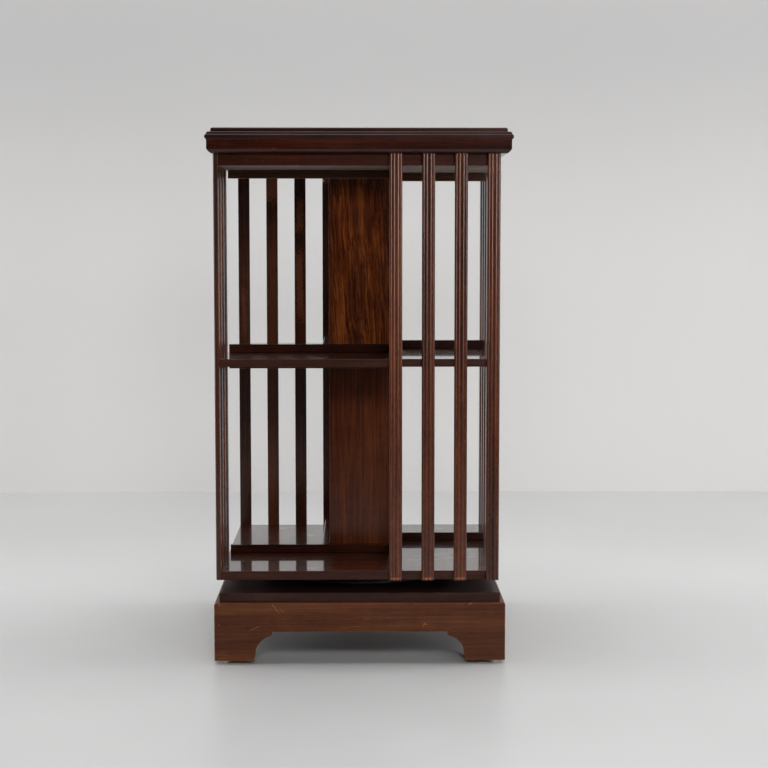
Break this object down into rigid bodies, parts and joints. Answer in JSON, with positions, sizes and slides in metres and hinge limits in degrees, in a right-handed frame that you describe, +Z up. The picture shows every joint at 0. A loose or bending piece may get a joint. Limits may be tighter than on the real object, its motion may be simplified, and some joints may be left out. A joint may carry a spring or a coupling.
{
  "type": "revolving bookcase",
  "caption": "Square tiered revolving bookcase with reeded slats, a hollow central column and open compartments, turning on a ball race over a bracket-foot plinth.",
  "frame": {"origin": "on the floor, under the axis that the carcass turns about", "axes": "+Z up along the turning axis; -Y is the front, the side whose slats are in its right half"},
  "size_m": [0.48, 0.48, 0.848],
  "materials": {
    "top_mahogany": "French-polished dark mahogany with long, soft grain",
    "frieze_mahogany": "French-polished dark mahogany",
    "shelf_mahogany": "high-gloss dark mahogany, mirror-like at a low angle",
    "slat_mahogany": "polished mahogany with straight upright grain",
    "column_mahogany": "polished mahogany with upright, faintly figured grain",
    "stop_mahogany": "polished mahogany",
    "base_mahogany": "dark polished mahogany",
    "plinth_mahogany": "satin mahogany, lighter and more orange, grain along the board",
    "softwood": "plain sawn softwood",
    "glide_nylon": "pale satin plastic",
    "cage_nylon": "natural nylon",
    "race_steel": "zinc-plated pressed steel",
    "ball_steel": "polished ball-bearing steel",
    "bolt_steel": "zinc-plated steel",
    "screw_steel": "zinc-plated steel",
    "bush_brass": "turned brass",
    "pin_brass": "dulled brass wire"
  },
  "bodies": {
    "base": {"plinth_front": "plinth_mahogany", "plinth_right": "plinth_mahogany", "plinth_back": "plinth_mahogany", "plinth_left": "plinth_mahogany", "plinth_corner_blocks": "softwood", "foot_glides": "glide_nylon", "base_top_board": "base_mahogany", "base_screws": "screw_steel", "lower_race": "race_steel", "lower_race_screws": "screw_steel", "pivot_bush": "bush_brass"},
    "ball_ring": {"ball_cage": "cage_nylon", "bearing_balls": "ball_steel"},
    "carcass": {"bottom_shelf": "shelf_mahogany", "bottom_shelf_stops": "stop_mahogany", "carcass_top_board": "shelf_mahogany", "ceiling_stops": "stop_mahogany", "frieze_back": "frieze_mahogany", "frieze_front": "frieze_mahogany", "frieze_left": "frieze_mahogany", "frieze_right": "frieze_mahogany", "lower_column_back": "column_mahogany", "lower_column_blocks": "softwood", "lower_column_front": "column_mahogany", "lower_column_left": "column_mahogany", "lower_column_right": "column_mahogany", "middle_shelf": "shelf_mahogany", "middle_shelf_stops": "stop_mahogany", "moulded_top": "top_mahogany", "pivot_bolt": "bolt_steel", "pivot_nut": "bolt_steel", "pivot_washer": "bolt_steel", "slat_back_1": "slat_mahogany", "slat_back_2": "slat_mahogany", "slat_back_3": "slat_mahogany", "slat_back_4": "slat_mahogany", "slat_front_1": "slat_mahogany", "slat_front_2": "slat_mahogany", "slat_front_3": "slat_mahogany", "slat_front_4": "slat_mahogany", "slat_left_1": "slat_mahogany", "slat_left_2": "slat_mahogany", "slat_left_3": "slat_mahogany", "slat_left_4": "slat_mahogany", "slat_pins": "pin_brass", "slat_right_1": "slat_mahogany", "slat_right_2": "slat_mahogany", "slat_right_3": "slat_mahogany", "slat_right_4": "slat_mahogany", "spacer_disc": "base_mahogany", "top_screws": "screw_steel", "under_middle_stops": "stop_mahogany", "upper_column_back": "column_mahogany", "upper_column_blocks": "softwood", "upper_column_front": "column_mahogany", "upper_column_left": "column_mahogany", "upper_column_right": "column_mahogany", "upper_race": "race_steel", "upper_race_screws": "screw_steel"}
  },
  "joints": [
    {"name": "carcass_spin", "type": "hinge", "parent": "base", "child": "carcass", "pos_m": [0, 0, 0.119], "axis": [0, 0, 1], "continuous": true},
    {"name": "ball_ring_spin", "type": "hinge", "parent": "base", "child": "ball_ring", "pos_m": [0, 0, 0.119], "axis": [0, 0, 1], "continuous": true}
  ],
  "couplings": [
    {"joint": "ball_ring_spin", "follows": "carcass_spin", "ratio": 0.5}
  ]
}
